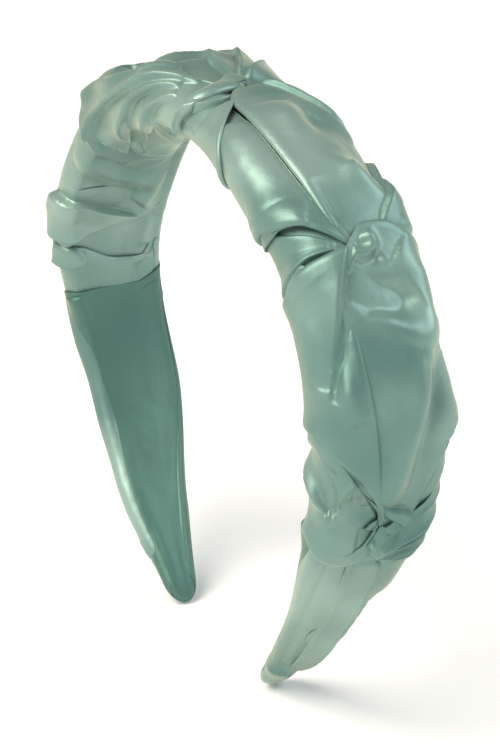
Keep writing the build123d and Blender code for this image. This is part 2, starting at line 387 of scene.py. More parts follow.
# %% [markdown]
# ## Laying the cloth
# Hand-laid satin is pressed flat where it touches the head, sinks a little over the band's edges,
# and runs out to nothing where it is tucked under the next length. These rules hold for every
# length, so one function lays them all. A length asks only for its edges, layer and creases.

# %% Lay a length of satin
BLEND_U = 0.35  # the share of u over which one rule passes into the next
EDGE_SINK = 0.5  # mm that the cloth sinks over the front and back edge
PRESSED, PRESSED_SHARE = 0.35, 0.3  # height at the inner hem, and the share of the layer added to it
TUCK_FROM, TUCKED_HEIGHT = 0.95, 0.15  # from this u the back strip lies under the front strip's hem
FLOOR_HEIGHT, FLOOR_SOFT = 0.12, 0.1  # no cloth lies lower than this over the stuffed shape, in mm


def height_kept(u, head_side):
    """The share of a height that is left at u: all of it outside, head_side where the head is."""
    return 1 - (1 - head_side) * eased((-1.0 - u) / BLEND_U)


def laid(s, u, lift, layer, creases, head_side, seed):
    """The height of the cloth in mm with its rumples, gathers and creases, and its shifts along and
    round the band. The last line is a soft maximum of the height and FLOOR_HEIGHT."""
    held = height_kept(u, head_side)
    along, round_ = np.zeros_like(s), np.zeros_like(s)
    sink = EDGE_SINK * np.exp(-(((np.abs(u) - 1) / BLEND_U) ** 2))
    lift = lift + held * rumple(s, u, seed) + gather(s, u) - sink
    for mark in creases:
        up, ahead, aside = crease(s, u, *mark)
        lift, along, round_ = lift + held * up, along + held * ahead, round_ + held * aside
    if u.min() < INNER + 0.1:
        hem = PRESSED + PRESSED_SHARE * layer
        lift = hem + (lift - hem) * eased((u - INNER) / 0.4)
    lift = TUCKED_HEIGHT + (lift - TUCKED_HEIGHT) * (1 - eased((u - TUCK_FROM) / BLEND_U))
    over = (lift - FLOOR_HEIGHT) / 2
    return FLOOR_HEIGHT + over + np.hypot(over, FLOOR_SOFT), along, round_


def measured(points):
    """Width, length and area in metres of the formed cloth: the mean of its rows' and columns'
    lengths, and the sum of its cells."""
    wide = np.linalg.norm(np.diff(points, axis=1), axis=-1).sum(1).mean()
    long = np.linalg.norm(np.diff(points, axis=0), axis=-1).sum(0).mean()
    cells = np.cross(points[1:, :-1] - points[:-1, :-1], points[:-1, 1:] - points[:-1, :-1])
    return float(wide), float(long), min(float(np.linalg.norm(cells, axis=-1).sum()), float(wide * long))


def patch(name, start, end, low=None, high=None, layer=0.0, raised=None, hems="", creases=(),
          size=(130, 110), seed=1.0, head_side=0.35):
    """A length of satin between four edges on the map; low and high run straight unless given. layer
    is its height in mm above the stuffed shape, raised adds height towards an edge as {edge: (mm,
    reach)}, and head_side is the share of height that is left where the band meets the head."""
    grid = coons(start, end, low or [start[0], end[0]], high or [start[-1], end[-1]], *size)
    a, b = closer_at_ends(size[0])[:, None], closer_at_ends(size[1])[None, :]
    towards = {"start": a + 0 * b, "end": 1 - a + 0 * b, "low": b + 0 * a, "high": 1 - b + 0 * a}
    lift = np.full(size, float(layer))
    for edge, (more, reach) in (raised or {}).items():
        lift += height_kept(grid[..., 1], head_side) * more * np.exp(-((towards[edge] / reach) ** 2))
    grid, lift = hemmed(grid, lift, hems)
    s, u = grid[..., 0], grid[..., 1]
    lift, along, round_ = laid(s, u, lift, layer, creases, head_side, seed)
    thin = 1 - np.clip((np.abs(s) - HALF_LENGTH + 2 * TIP_ROUND) / (2 * TIP_ROUND), 0, 1)
    points = skin(s, u, lift * thin, along * thin, round_ * thin) * MM
    spans[name] = (float(s.min()), float(s.max()))
    cut_sizes[name] = measured(points)
    flat = np.stack([s, u * quarter_length(s)], -1) * MM
    s_down, s_across, u_down, u_across = *np.gradient(s), *np.gradient(u)
    faces_inwards = np.sum(s_down * u_across - s_across * u_down) < 0
    wall = make_mesh(name, points, flat, faces_inwards).modifiers.new("Cloth thickness", "SOLIDIFY")
    wall.thickness = SATIN_THICKNESS * MM
    wall.offset = -1


print("satin", SATIN_THICKNESS, "mm thick, its inner hem at u", INNER)

# %% [markdown]
# ## The right side
# From the top knot down, each strip is one long cloth that is drawn into every knot and spreads
# out again below it. The front strip is wide enough to go round the front edge and the head side,
# so its far hem lies over the back strip. Each length is made between two knots, where the next
# length or the knot's own folds cover its ends.

# %% Lengths from the top knot to the right tip
UNDER = 1.4  # the back strip ends here, under the front strip's hem

SLIT_CROWN = [(9, -0.04), (19, -0.33), (27, -0.33), (39, -0.31), (52, -0.25), (60, -0.12)]
SLIT_TEMPLE = [(60, -0.12), (68, -0.29), (75, -0.26), (88, -0.2), (98, -0.15), (110, -0.06)]
SLIT_END = [(113, -0.06), (122, -0.14), (135, -0.13), (153, -0.14), (168, -0.16), (HALF_LENGTH, -0.1)]
HEM_HIGH_KNOT = [(51, INNER), (50.5, -1.5), (50.5, -1.08), (52.5, -0.82), (54.5, -0.5), (57, -0.3),
                 (59.8, -0.12)]
HEM_TEMPLE_TOP = [(67, INNER), (65.5, -1.5), (65, -1.05), (62.8, -0.88), (61.6, -0.55), (61, -0.34),
                  (60.2, -0.12)]
HEM_TEMPLE_LOW = [(90, INNER), (90, -1.5), (92, -1.0), (95.5, -0.7), (99, -0.43), (104, -0.22), (110.5, -0.06)]
CUP_LOW = [(119, INNER), (119, -1.5), (116, -1.05), (118.5, -0.76), (119.2, -0.45), (118.5, -0.24),
           (112, -0.06)]

RIGHT = {
    "front_strip_right_crown": dict(
        start=[(12, INNER), (12, -1.6), (14, -0.9), (9, -0.05)], end=HEM_HIGH_KNOT,
        high=SLIT_CROWN, layer=1.0, raised={"end": (2.0, 0.16), "high": (-0.8, 0.10)}, hems="end low",
        creases=[
            ("ridge", [(46, -1.1), (50, -0.7), (53, -0.4)], 0.9, 4.0, (0.3, 0.2)),
            ("ridge", [(24, -0.5), (36, -0.72), (48, -0.75)], 0.7, 7.0, (0.3, 0.3)),
            ("pinch", [(10, -0.12), (16, -0.4), (24, -0.52)], -1.0, 2.6, (0.0, 0.5)),
            ("fold", [(20, -2.2), (30, -1.9), (44, -1.8)], 0.8, 4.0, (0.3, 0.4)),
        ]),
    "back_strip_right_crown": dict(
        start=[(9, -0.04), (11, 0.12), (13.5, 0.36), (15.5, 0.7), (16, 1.0), (16, UNDER)],
        end=[(60, -0.1), (62, 0.3), (62, 1.0), (60, UNDER)],
        low=SLIT_CROWN,
        layer=1.3, raised={"low": (0.9, 0.16), "end": (-1.2, 0.06), "start": (0.9, 0.1)}, hems="start low",
        creases=[
            ("ridge", [(22, -0.02), (30, 0.02), (40, 0.1), (48, 0.3), (54, 0.6)], 2.0, 3.2, (0.2, 0.3)),
            ("ridge", [(28, 0.28), (31, 0.14), (37, 0.08), (44, 0.2)], -1.3, 2.6, (0.2, 0.3)),
            ("fold", [(10, 0.1), (16, 0.28), (24, 0.62), (30, 0.95)], 1.0, 5.0, (0.2, 0.3)),
            ("ridge", [(12, 0.06), (18, 0.16), (26, 0.4), (34, 0.7)], 1.0, 2.4, (0.2, 0.3)),
            ("fold", [(36, 1.15), (42, 0.75), (50, 0.55), (57, 0.3)], 1.0, 4.0, (0.2, 0.3)),
            ("ridge", [(48, 0.8), (54, 0.72), (59, 0.66)], 1.6, 5.0, (0.4, 0.2)),
            ("pinch", [(60, -0.05), (54, -0.12), (46, -0.16)], -0.9, 2.2, (0.0, 0.5)),
        ]),
    "tuck_right_high": dict(
        start=[(47, INNER), (47, -1.5), (50, -1.02), (53.5, -0.8), (55.8, -0.52), (57.6, -0.34), (59.8, -0.14)],
        end=[(74, INNER), (72, -1.5), (70, -1.05), (67, -0.7), (64, -0.36), (61, -0.15)],
        layer=0.7, raised={"start": (0.9, 0.2)}, hems="start", size=(70, 90),
        creases=[
            ("fold", [(66, -1.4), (61, -0.9), (59.6, -0.5), (60, -0.2)], 0.8, 3.0, (0.2, 0.2)),
            ("pinch", [(60, -1.2), (58, -0.7), (59, -0.3)], -0.5, 2.0, (0.2, 0.2)),
        ]),
    "under_right_high": dict(
        start=[(40, -1.4), (40, -0.9), (44, -0.4), (56, -0.16)], end=[(66, -1.4), (66, -0.9), (64, -0.4),
                                                                      (60, -0.16)],
        layer=0.2, size=(60, 60)),
    "front_strip_right_temple": dict(
        start=HEM_TEMPLE_TOP, end=HEM_TEMPLE_LOW,
        high=SLIT_TEMPLE, layer=1.3, raised={"start": (1.4, 0.14), "end": (1.4, 0.14), "high": (1.0, 0.12)},
        hems="start end high low",
        creases=[
            ("fold", [(60.5, -0.12), (66, -0.27), (72.5, -0.4), (78, -0.5), (86, -0.64)],
             -1.3, 4.5, (0.0, 0.5)),
            ("ridge", [(80, -0.54), (84, -0.45), (90, -0.34)], 1.1, 2.4, (0.4, 0.5)),
            ("ridge", [(66, -1.15), (74, -0.9), (84, -0.98), (92, -1.2)], 0.3, 4.0, (0.3, 0.3)),
            ("ridge", [(66, -0.75), (74, -0.68), (84, -0.72)], -0.8, 5.0, (0.3, 0.3)),
            ("fold", [(70, -2.3), (78, -1.8), (84, -1.4)], 0.8, 4.0, (0.2, 0.4)),
        ]),
    "back_strip_right_temple": dict(
        start=[(60.3, -0.16), (58.2, -0.06), (56.4, 0.05), (56.6, 0.24), (58.4, 0.48), (60, 0.7), (61, 1.05),
               (63, UNDER)],
        end=[(111, -0.08), (112, 0.3), (112, 0.9), (110, UNDER)],
        low=[(60.3, -0.16), (68, -0.38), (75, -0.36), (88, -0.3), (98, -0.24), (111, -0.08)],
        layer=1.5, raised={"start": (2.2, 0.12), "low": (-0.9, 0.12)}, hems="start",
        creases=[
            ("ridge", [(58.5, 0.02), (60.5, 0.06), (62.2, -0.03), (61.6, -0.12)], 1.2, 1.1, (0.2, 0.2)),
            ("pinch", [(62.5, 0.12), (63.5, 0.0), (62.8, -0.12)], -1.1, 1.0, (0.2, 0.2)),
            ("ridge", [(65, -0.22), (67.5, -0.14), (70, 0.0), (71, 0.18), (70, 0.36)], -2.6, 2.6, (0.1, 0.3)),
            ("ridge", [(62, 0.3), (68, 0.5), (75, 0.42), (80, 0.24)], 1.7, 4.2, (0.3, 0.3)),
            ("ridge", [(72, -0.05), (76, 0.1), (78, 0.3), (76, 0.6)], 0.8, 2.6, (0.2, 0.3)),
            ("ridge", [(80, 0.3), (90, 0.14), (97, 0.02), (106, -0.05)], 2.1, 2.8, (0.3, 0.15)),
            ("ridge", [(80, 0.54), (90, 0.36), (98, 0.2), (107, 0.02)], -1.9, 2.6, (0.3, 0.15)),
            ("fold", [(112, 0.02), (104, 0.2), (97, 0.42), (91, 0.66), (86, 0.95)], 1.5, 4.5, (0.05, 0.3)),
            ("ridge", [(80, 0.62), (88, 0.56), (94, 0.62)], 0.7, 5.0, (0.4, 0.3)),
            ("fold", [(111, 0.1), (105, 0.45), (100, 0.8), (96, 1.15)], 0.8, 3.0, (0.05, 0.3)),
        ]),
    "knot_right_low": dict(
        start=[(86, INNER), (86, -1.5), (90, -1.1), (94, -0.75), (100, -0.42), (109.5, -0.1)], end=CUP_LOW,
        layer=1.3, raised={"end": (1.8, 0.2)}, hems="end low", size=(110, 110),
        creases=[
            ("ridge", [(93, -1.25), (98, -1.0), (103, -0.8), (107.5, -0.66)], -2.4, 2.6, (0.15, 0.1)),
            ("pinch", [(108, -0.66), (104, -0.55), (101, -0.42), (103, -0.34), (105.5, -0.28)],
             1.5, 1.4, (0.1, 0.4)),
            ("pinch", [(95, -1.35), (101, -1.15), (106, -0.9), (108.5, -0.7)], 1.5, 1.2, (0.15, 0.1)),
            ("ridge", [(103, -0.42), (106, -0.34), (108.5, -0.24)], -0.8, 1.8, (0.3, 0.3)),
            ("ridge", [(112, -0.7), (115, -0.5), (115, -0.3)], 0.8, 3.5, (0.3, 0.3)),
        ]),
    "under_right_low": dict(
        start=[(88, -1.0), (90, -0.5), (96, 0.0), (96, 0.7)], end=[(120, -1.0), (122, -0.5), (124, 0.0),
                                                                   (122, 0.7)],
        layer=0.3, size=(60, 60)),
    "fan_right_low": dict(
        start=[(109, 0.0), (106, 0.35), (102, 0.75), (100, 1.1), (101, UNDER)],
        end=[(114.5, -0.14), (119, 0.08), (121.5, 0.36), (121.5, 0.9), (120, UNDER)],
        low=[(109, 0.0), (111.5, -0.1), (114.5, -0.14)],
        layer=1.6, raised={"end": (0.8, 0.2)}, hems="end", size=(110, 90),
        creases=[
            ("fold", [(113, -0.12), (112.6, 0.14), (110.6, 0.5), (109, 0.92)], 1.3, 2.4, (0.1, 0.5)),
            ("fold", [(113.6, -0.12), (114.4, 0.14), (113.4, 0.5), (112.6, 0.92)], 1.2, 2.2, (0.1, 0.5)),
            ("fold", [(114, -0.12), (116.4, 0.12), (116.4, 0.5), (116, 0.92)], 1.3, 2.2, (0.1, 0.5)),
            ("fold", [(114.4, -0.13), (118.2, 0.12), (119.2, 0.5), (119, 0.92)], 1.0, 2.0, (0.1, 0.5)),
            ("fold", [(111, -0.04), (108.6, 0.2), (106, 0.55), (104.6, 0.92)], 1.0, 2.4, (0.1, 0.5)),
        ]),
    "front_strip_right_end": dict(
        start=[(108, -1.35), (110, -1.0), (113, -0.5), (111, -0.05)], end=[(HALF_LENGTH, -1.35),
                                                                           (HALF_LENGTH, -0.8),
                                                                           (HALF_LENGTH, -0.1)],
        high=SLIT_END, layer=0.9, raised={"high": (0.8, 0.12)}, hems="high", size=(170, 90),
        creases=[
            ("ridge", [(116, -0.36), (130, -0.5), (150, -0.56), (172, -0.5)], -1.9, 2.8, (0.1, 0.2)),
            ("fold", [(178, -0.32), (150, -0.3), (132, -0.3), (117, -0.2)], 0.8, 2.0, (0.2, 0.05)),
            ("ridge", [(118, -0.85), (135, -0.95), (155, -0.98), (176, -0.85)], 1.1, 3.0, (0.2, 0.3)),
        ]),
    "back_strip_right_end": dict(
        start=[(113, -0.3), (113, 0.3), (112, 0.9), (110, 1.3)], end=[(HALF_LENGTH, -0.3),
                                                                      (HALF_LENGTH, 0.5), (HALF_LENGTH, 1.3)],
        low=[(113, -0.3), (135, -0.32), (160, -0.34), (HALF_LENGTH, -0.3)],
        layer=0.3, size=(170, 80),
        creases=[
            ("fold", [(174, 0.1), (150, 0.04), (134, 0.02), (118, -0.06)], 1.0, 2.0, (0.2, 0.05)),
            ("fold", [(164, 0.34), (146, 0.26), (134, 0.18), (120, -0.02)], 0.8, 2.4, (0.3, 0.05)),
        ]),
    "flap_right_low": dict(
        start=[(112, 0.0), (112, 0.4), (113, 0.9)], end=[(141, 0.04), (137, 0.14), (132.5, 0.32), (128.5, 0.6)],
        low=[(112, 0.0), (124, -0.02), (141, 0.04)], high=[(113, 0.9), (121, 0.86), (128.5, 0.6)],
        layer=2.0, hems="end high low", size=(70, 60),
        creases=[("ridge", [(116, 0.1), (124, 0.24), (132, 0.3)], 0.5, 4.0, (0.2, 0.3))]),
    "roll_top": dict(
        start=[(10.2, -0.9), (10.2, -0.55), (8.2, -0.24), (4.2, -0.05)], end=[(12.4, -0.84), (13.6, -0.5),
                                                                              (12.6, -0.2), (9, 0.09)],
        high=[(4.2, -0.05), (6.4, 0.04), (9, 0.09)],
        layer=3.3, hems="start end high low", size=(50, 80)),
    "loop_top": dict(
        start=[(3, INNER), (4, -1.4), (8, -1.05), (11.4, -0.8), (11.8, -0.5), (10.6, -0.22), (7.5, 0.02)],
        end=[(33, INNER), (34.5, -1.4), (31.6, -1.04), (28.5, -0.84), (25, -0.63), (19.5, -0.34),
             (10.5, -0.02)],
        layer=1.9, raised={"start": (1.5, 0.14), "end": (0.9, 0.14)}, hems="start end low", size=(90, 110),
        creases=[
            ("ridge", [(14, -1.0), (15.5, -0.7), (14.5, -0.35), (11, -0.08)], -1.6, 1.8, (0.15, 0.1)),
            ("fold", [(8, -1.15), (12, -0.78), (14.4, -0.5), (13.4, -0.2), (10, -0.02)], 1.1, 2.0, (0.1, 0.05)),
        ]),
}


for name, made in RIGHT.items():
    patch(name, **made)
print("right side", len(pieces), "lengths")

# %% [markdown]
# ## The left side
# Behind the crown the strips lie as on the right, so most lengths are mirrored about the top knot.
# The front strip was laid differently: it fans out of the top knot in three layers of pleats, runs
# smooth to a tongue that stands out at the front edge, and below it an open pocket and one more
# layer lead to the facing. Those lengths get edges of their own.

# %% Places on the left leg
def left_of(point):
    """The matching place on the left: as far from the top knot, and past the low knot in proportion."""
    s, u = point
    if s <= KNOTS["right_low"]:
        return 2 * KNOTS["top"] - s, u
    stretch = (HALF_LENGTH + KNOTS["left_low"]) / (HALF_LENGTH - KNOTS["right_low"])
    return KNOTS["left_low"] - (s - KNOTS["right_low"]) * stretch, u


def mirrored(made):
    """A length's values for the left leg. Each crease is drawn backwards, so that it stays high on
    the same side of the cloth."""
    made = dict(made, seed=LEFT_SEED)
    for edge in {"start", "end", "low", "high"} & set(made):
        made[edge] = [left_of(point) for point in made[edge]]
    made["creases"] = [(kind, [left_of(point) for point in line[::-1]], height, soft, fade[::-1])
                       for kind, line, height, soft, fade in made.get("creases", ())]
    return made


LEFT_SEED = 2.3
SLIT_CROWN_LEFT = [left_of(point) for point in SLIT_CROWN[1:-1]]
SLIT_TEMPLE_LEFT = [left_of(point) for point in SLIT_TEMPLE[1:-1]]
print("the slit's places on the left crown", SLIT_CROWN_LEFT)

# %% Lengths from the top knot to the left tip
FAN_LOW = [(-54, INNER), (-58.5, -2.4), (-60, -2.12), (-57, -1.81), (-52.5, -1.46), (-49, -1.18),
           (-48.2, -1.05),
           (-46.5, -0.88), (-44.4, -0.66), (-43, -0.42), (-42.4, -0.26), (-42, -0.12)]
FAN_MIDDLE = [(-53, INNER), (-54, -2.4), (-53.7, -2.12), (-53, -1.8), (-50.5, -1.47), (-46.6, -1.17),
              (-45.6, -1.02),
              (-44.4, -0.82), (-43, -0.62), (-42, -0.42), (-41.6, -0.26), (-41.6, -0.12)]
FAN_HIGH = [(-51, INNER), (-51, -2.39), (-50, -2.04), (-47, -1.78), (-42, -1.58), (-39, -1.44), (-41, -1.35),
            (-38.4, -1.25), (-38.6, -1.18), (-42, -1.12), (-42.4, -1.0), (-40.8, -0.75), (-40, -0.45),
            (-40.6, -0.28), (-41.4, -0.12)]
TONGUE_LOW = [(-75, INNER), (-77.5, -2.49), (-78.5, -2.19), (-78.8, -1.92), (-80.5, -1.6), (-83, -1.28),
              (-86, -1.14), (-86, -1.0), (-83.4, -0.8), (-81.5, -0.6), (-82.5, -0.4), (-86, -0.22),
              (-92.5, -0.06)]
LAST_TOP = [(-87, INNER), (-91, -2.62), (-91, -2.3), (-90.5, -1.96), (-88, -1.62), (-86, -1.36), (-85.6, -1.16),
            (-86.5, -0.98), (-85.5, -0.7), (-87, -0.42), (-91.5, -0.1)]

LEFT = {
    "fan_left_high": dict(
        start=[(-20, INNER), (-24, -1.4), (-24, -0.9), (-30, -0.4), (-41, -0.1)], end=FAN_LOW,
        layer=0.9, raised={"end": (0.7, 0.2)}, hems="end", size=(90, 120), head_side=1.0, creases=[
            ("fold", [(-30, -2.3), (-40, -2.2), (-50, -1.95), (-56, -1.7)], 0.9, 3.0, (0.3, 0.3)),
        ]),
    "tuck_left_high": dict(
        start=[(-20, INNER), (-24, -1.4), (-24, -0.9), (-30, -0.4), (-40, -0.1)], end=FAN_MIDDLE,
        layer=1.7, raised={"end": (1.1, 0.2)}, hems="end", size=(90, 120), head_side=1.0, creases=[
            ("ridge", [(-40, -1.0), (-42, -1.3), (-46, -1.6), (-48, -2.0)], -1.0, 1.8, (0.2, 0.2)),
        ]),
    "front_strip_left_crown": dict(
        start=[(16, INNER), (16, -1.6), (18, -0.95), (17, -0.4), (12, -0.04)], end=FAN_HIGH,
        high=[(12, -0.04), (6, -0.12), *SLIT_CROWN_LEFT, (-41.4, -0.12)],
        layer=2.3, raised={"start": (-1.6, 0.22), "end": (1.3, 0.12), "high": (-0.6, 0.1)}, hems="end low",
        size=(190, 150), head_side=1.0, creases=[
            ("fold", [(-42, -1.1), (-35.5, -1.02), (-24, -0.97), (-12.5, -0.84), (-3.5, -0.57), (3, -0.3)],
             1.3, 3.0, (0.02, 0.2)),
            ("fold", [(-40, -1.4), (-25.5, -1.2), (-15, -1.06), (-6.5, -0.84), (2, -0.55)],
             1.4, 3.2, (0.02, 0.2)),
            ("fold", [(-36, -1.66), (-24, -1.4), (-12, -1.2), (-2, -0.95), (4, -0.7)], 1.1, 2.6, (0.25, 0.2)),
            ("fold", [(-48.5, -2.63), (-41.5, -2.2), (-32, -1.78), (-18, -1.4), (-4, -1.15)],
             1.0, 2.6, (0.2, 0.3)),
            ("fold", [(-46, -1.9), (-36, -1.62), (-28, -1.52)], 0.7, 1.8, (0.1, 0.4)),
            ("ridge", [(-42, -0.74), (-34, -0.72), (-23, -0.78), (-14.5, -0.66), (-4, -0.36)],
             1.2, 1.6, (0.1, 0.2)),
            ("ridge", [(-38, -0.5), (-26, -0.54), (-14, -0.44), (-2, -0.26)], 0.9, 2.2, (0.2, 0.2)),
            ("pinch", [(-24, -0.42), (-17, -0.56), (-11, -0.5)], -2.2, 1.5, (0.2, 0.2)),
        ]),
    "back_strip_left_crown": dict(
        start=[(9, -0.03), (14, 0.2), (20, 0.6), (22, 1.0), (22, UNDER)], end=[(-42, -0.1), (-44, 0.3),
                                                                               (-44, 1.0), (-42, UNDER)],
        low=[(9, -0.03), *SLIT_CROWN_LEFT, (-42, -0.1)],
        layer=0.9, raised={"low": (0.7, 0.12)}, hems="low", size=(190, 110), creases=[
            ("fold", [(-34, 0.0), (-20, 0.02), (-8, 0.06), (2, 0.06), (8, 0.03)], 1.2, 3.0, (0.3, 0.1)),
            ("fold", [(-30, 0.42), (-16, 0.42), (-4, 0.3), (3, 0.16), (8, 0.06)], 1.3, 3.4, (0.3, 0.1)),
            ("fold", [(-22, 0.8), (-10, 0.78), (-2, 0.55), (4, 0.28), (9, 0.1)], 1.1, 3.0, (0.3, 0.1)),
            ("ridge", [(-10, -0.3), (-7.4, 0.0), (-7.4, 0.45)], 0.9, 2.6, (0.3, 0.3)),
            ("fold", [(16, 0.5), (13, 0.3), (10, 0.1)], 0.8, 2.4, (0.2, 0.2)),
        ]),
    "front_strip_left_temple": dict(
        start=[(-36, INNER), (-36, -1.5), (-36, -1.05), (-40, -0.6), (-41, -0.3), (-42.2, -0.12)],
        end=TONGUE_LOW,
        high=[(-42.2, -0.12), *SLIT_TEMPLE_LEFT, (-92.5, -0.06)],
        layer=0.9, raised={"end": (1.7, 0.16), "high": (0.7, 0.12)}, hems="end high low",
        size=(170, 130), head_side=1.0, creases=[
            ("fold", [(-78, -2.3), (-76.3, -1.94), (-74.6, -1.6), (-72, -1.25), (-73, -1.03), (-74.5, -0.8)],
             1.9, 6.0, (0.35, 0.2)),
            ("ridge", [(-60, -0.85), (-61, -1.17), (-67, -1.45), (-70.5, -1.8), (-70.5, -2.15)],
             -0.8, 4.2, (0.3, 0.3)),
            ("ridge", [(-56, -1.0), (-57, -1.24), (-61, -1.73), (-63.5, -2.22), (-65.5, -2.55)],
             1.3, 3.6, (0.2, 0.3)),
            ("ridge", [(-62, -2.62), (-68, -2.5), (-74, -2.3)], 1.0, 3.0, (0.3, 0.2)),
            ("ridge", [(-74, -0.9), (-79, -0.98), (-84, -1.04)], 1.5, 4.5, (0.3, 0.1)),
        ]),
    "pocket_left_low": dict(
        start=[(-66, INNER), (-66, -1.5), (-68, -0.95), (-72, -0.6)], end=[(-103, INNER), (-103, -1.5),
                                                                           (-103, -0.6)],
        layer=0.8, size=(110, 110), head_side=1.0, creases=[
            ("ridge", [(-82, -1.45), (-85, -1.8), (-86, -2.2)], -0.5, 4.0, (0.2, 0.2)),
            ("ridge", [(-80, -2.6), (-84, -2.52), (-88, -2.55)], 1.4, 2.2, (0.2, 0.2)),
        ]),
    "knot_left_low": dict(
        start=LAST_TOP,
        end=[(-107, INNER), (-107, -1.5), (-104, -1.02), (-100.5, -0.76), (-101.2, -0.45), (-100.5, -0.24),
             (-94, -0.06)],
        layer=0.8, raised={"start": (1.6, 0.35)}, hems="start", size=(90, 130), head_side=1.0, creases=[
            ("fold", [(-90.5, -0.96), (-90.6, -1.12), (-89.6, -1.27), (-87, -1.36)], 1.2, 3.0, (0.1, 0.3)),
            ("ridge", [(-93, -1.5), (-95, -1.9), (-96, -2.3)], 0.6, 3.0, (0.3, 0.3)),
            ("ridge", [(-96, -2.4), (-95, -2.55), (-93, -2.66)], -1.2, 2.0, (0.3, 0.3)),
        ]),
}

ONLY_RIGHT = ("loop_top", "roll_top", "under_right_high", "under_right_low")
for name, made in LEFT.items():
    patch(name, seed=LEFT_SEED, **made)
for name, made in RIGHT.items():
    left_name = name.replace("right", "left")
    if name not in ONLY_RIGHT and left_name not in LEFT:
        patch(left_name, **mirrored(made))
print("both sides", len(pieces), "lengths")

# %% [markdown]
# ## The facing
# Last of all, a smooth strip of the same satin is glued over the head side of each leg. It hides the
# strips' raw edges and the core. Its top hem is folded under and stands a little proud, and nothing
# gathers it, so it needs no creases but the faint one where the hem was pressed.

# %% Facings on the head side of the legs
FACING_EDGE, FACING_BACK = -0.93, -3.04  # u of its front and back hem; the map repeats every 4
FACING_LAYER = 1.5


def facing(name, top, tip):
    """An even strip from its top hem at s = top to the tip: it goes from one edge of the leg round
    the head side to the other."""
    side = 1 if tip > 0 else -1
    patch(name, start=[(top - side * 5, FACING_BACK), (top - side * 2, -2.7), (top, -2.4), (top, -1.7),
                       (top + side, FACING_EDGE)],
          end=[(tip, FACING_BACK), (tip, -2.0), (tip, FACING_EDGE)], layer=FACING_LAYER,
          raised={"start": (1.0, 0.06), "end": (-0.6, 0.3), "low": (-0.5, 0.1)}, hems="start low high",
          size=(170, 90), head_side=1.0,
          creases=[("ridge", [(top + side * 2, -1.15), (top + side * 9, -1.25)], 0.8, 1.6, (0.1, 0.6))])


facing("facing_left", -99.0, -HALF_LENGTH)
facing("facing_right", 113.0, HALF_LENGTH)
print("facings", [round(cut_sizes[name][1] / MM) for name in ("facing_left", "facing_right")], "mm long")

# %% [markdown]
# ## The wadding
# Under the satin the core carries a soft layer. Nobody sees it, but it fills the crown of the
# section and it bends with the legs, so it is made in three lengths: one rides with the crown, and
# one lies along each leg. It is a closed pad with rounded sides, swept along the arch.

# %% Wadding as a closed pad along the arch
WADDING_HALF, WADDING_LOW, WADDING_HIGH = 10.6, 2.0, 4.7
WADDING_END, WADDING_CUT, WADDING_GAP = 127.0, 34.0, 0.2
WADDING_ROUND = 1.3  # mm over which an end closes
TAPER_FROM, TAPER_OVER, TAPER_SHARE = 90, 40, 0.42  # it narrows by 42 percent from s = 90 to s = 130


def wadding(name, first, last):
    """A rounded bar swept along the arch: a superellipse 21 mm wide and 2.7 mm high, narrowed with
    the leg and closed to a line at both ends."""
    s = np.linspace(first, last, 90)[:, None]
    turn = np.linspace(0, 2 * np.pi, 41)[None, :]
    ends = np.minimum(np.abs(s - first), np.abs(last - s))
    ends = np.clip(ends / WADDING_ROUND, 0, 1)
    full = np.sqrt(ends * (2 - ends))
    leg = 1 - TAPER_SHARE * np.clip((np.abs(s) - TAPER_FROM) / TAPER_OVER, 0, 1)
    middle, high = (WADDING_LOW + WADDING_HIGH) / 2, (WADDING_HIGH - WADDING_LOW) / 2
    y = WADDING_HALF * leg * full * np.sign(np.cos(turn)) * np.abs(np.cos(turn)) ** 0.6
    r = middle + high * full * np.sign(np.sin(turn)) * np.abs(np.sin(turn)) ** 0.7
    x, z, heading = arch(s + 0 * turn)
    points = np.stack([x + r * np.sin(heading), y, z + r * np.cos(heading)], -1) * MM
    flat = np.stack([s + 0 * turn, turn * 6 + 0 * s], -1) * MM
    piece = make_mesh(name, points, flat, True)
    spans[name] = (min(first, last), max(first, last))
    weld = piece.modifiers.new("Close the seam", "WELD")
    weld.merge_threshold = 0.02 * MM


wadding("wadding_top", -WADDING_CUT, WADDING_CUT)
wadding("wadding_right", WADDING_CUT + WADDING_GAP, WADDING_END)
wadding("wadding_left", -WADDING_CUT - WADDING_GAP, -WADDING_END)
print("wadding", [piece.name for name, piece in pieces.items() if name.startswith("wadding")])

# %% [markdown]
# ## Which part of the band carries each piece
# The legs spring outwards about two lines beside the high knots. A piece that ends more than 16 mm
# before its line rides on the crown, and one that starts more than 16 mm past it rides on its leg.
# A piece that reaches within 16 mm of a line keeps its place and rides on neither.

# %% Ride and replace
BEND_REACH = 16.0
BEND_AT = {"left": -47.2, "right": 54.8}


def on_arch(s):
    """The point of the arch at s, in metres, as a Vector."""
    x, z, _ = arch(np.array([float(s)]))
    return Vector((float(x[0]) * MM, 0, float(z[0]) * MM))


def carried(name, piece):
    """Puts the piece on the crown or on the leg of its side; a piece near a bend line rides on neither and only
    has its transform baked into its mesh.
    """
    first, last = spans[name]
    side = "left" if first + last < 0 else "right"
    if side == "left":
        first, last = -last, -first
    at = abs(BEND_AT[side])
    way = 1 if side == "right" else -1
    if last <= at - BEND_REACH:
        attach(piece, "crown")
    elif first >= at + BEND_REACH:
        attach(piece, f"{side}_leg")
    else:
        on_arch(way * (at - BEND_REACH))
        on_arch(way * (at + BEND_REACH))
        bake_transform(piece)


STANDS_FOR = {"loop_top": "knot_top", "tuck_right_high": "knot_right_high", "tuck_left_high": "knot_left_high",
              "wadding_top": "foam_crown", "wadding_right": "foam_right_leg", "wadding_left": "foam_left_leg"}

for name, piece in pieces.items():
    carried(name, piece)
    node = STANDS_FOR.get(name, name)
    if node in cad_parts:
        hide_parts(node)
    if name.startswith("wadding"):
        continue
print("carried", len(pieces), "pieces; replaced", sum(o.hide_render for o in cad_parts.values()))

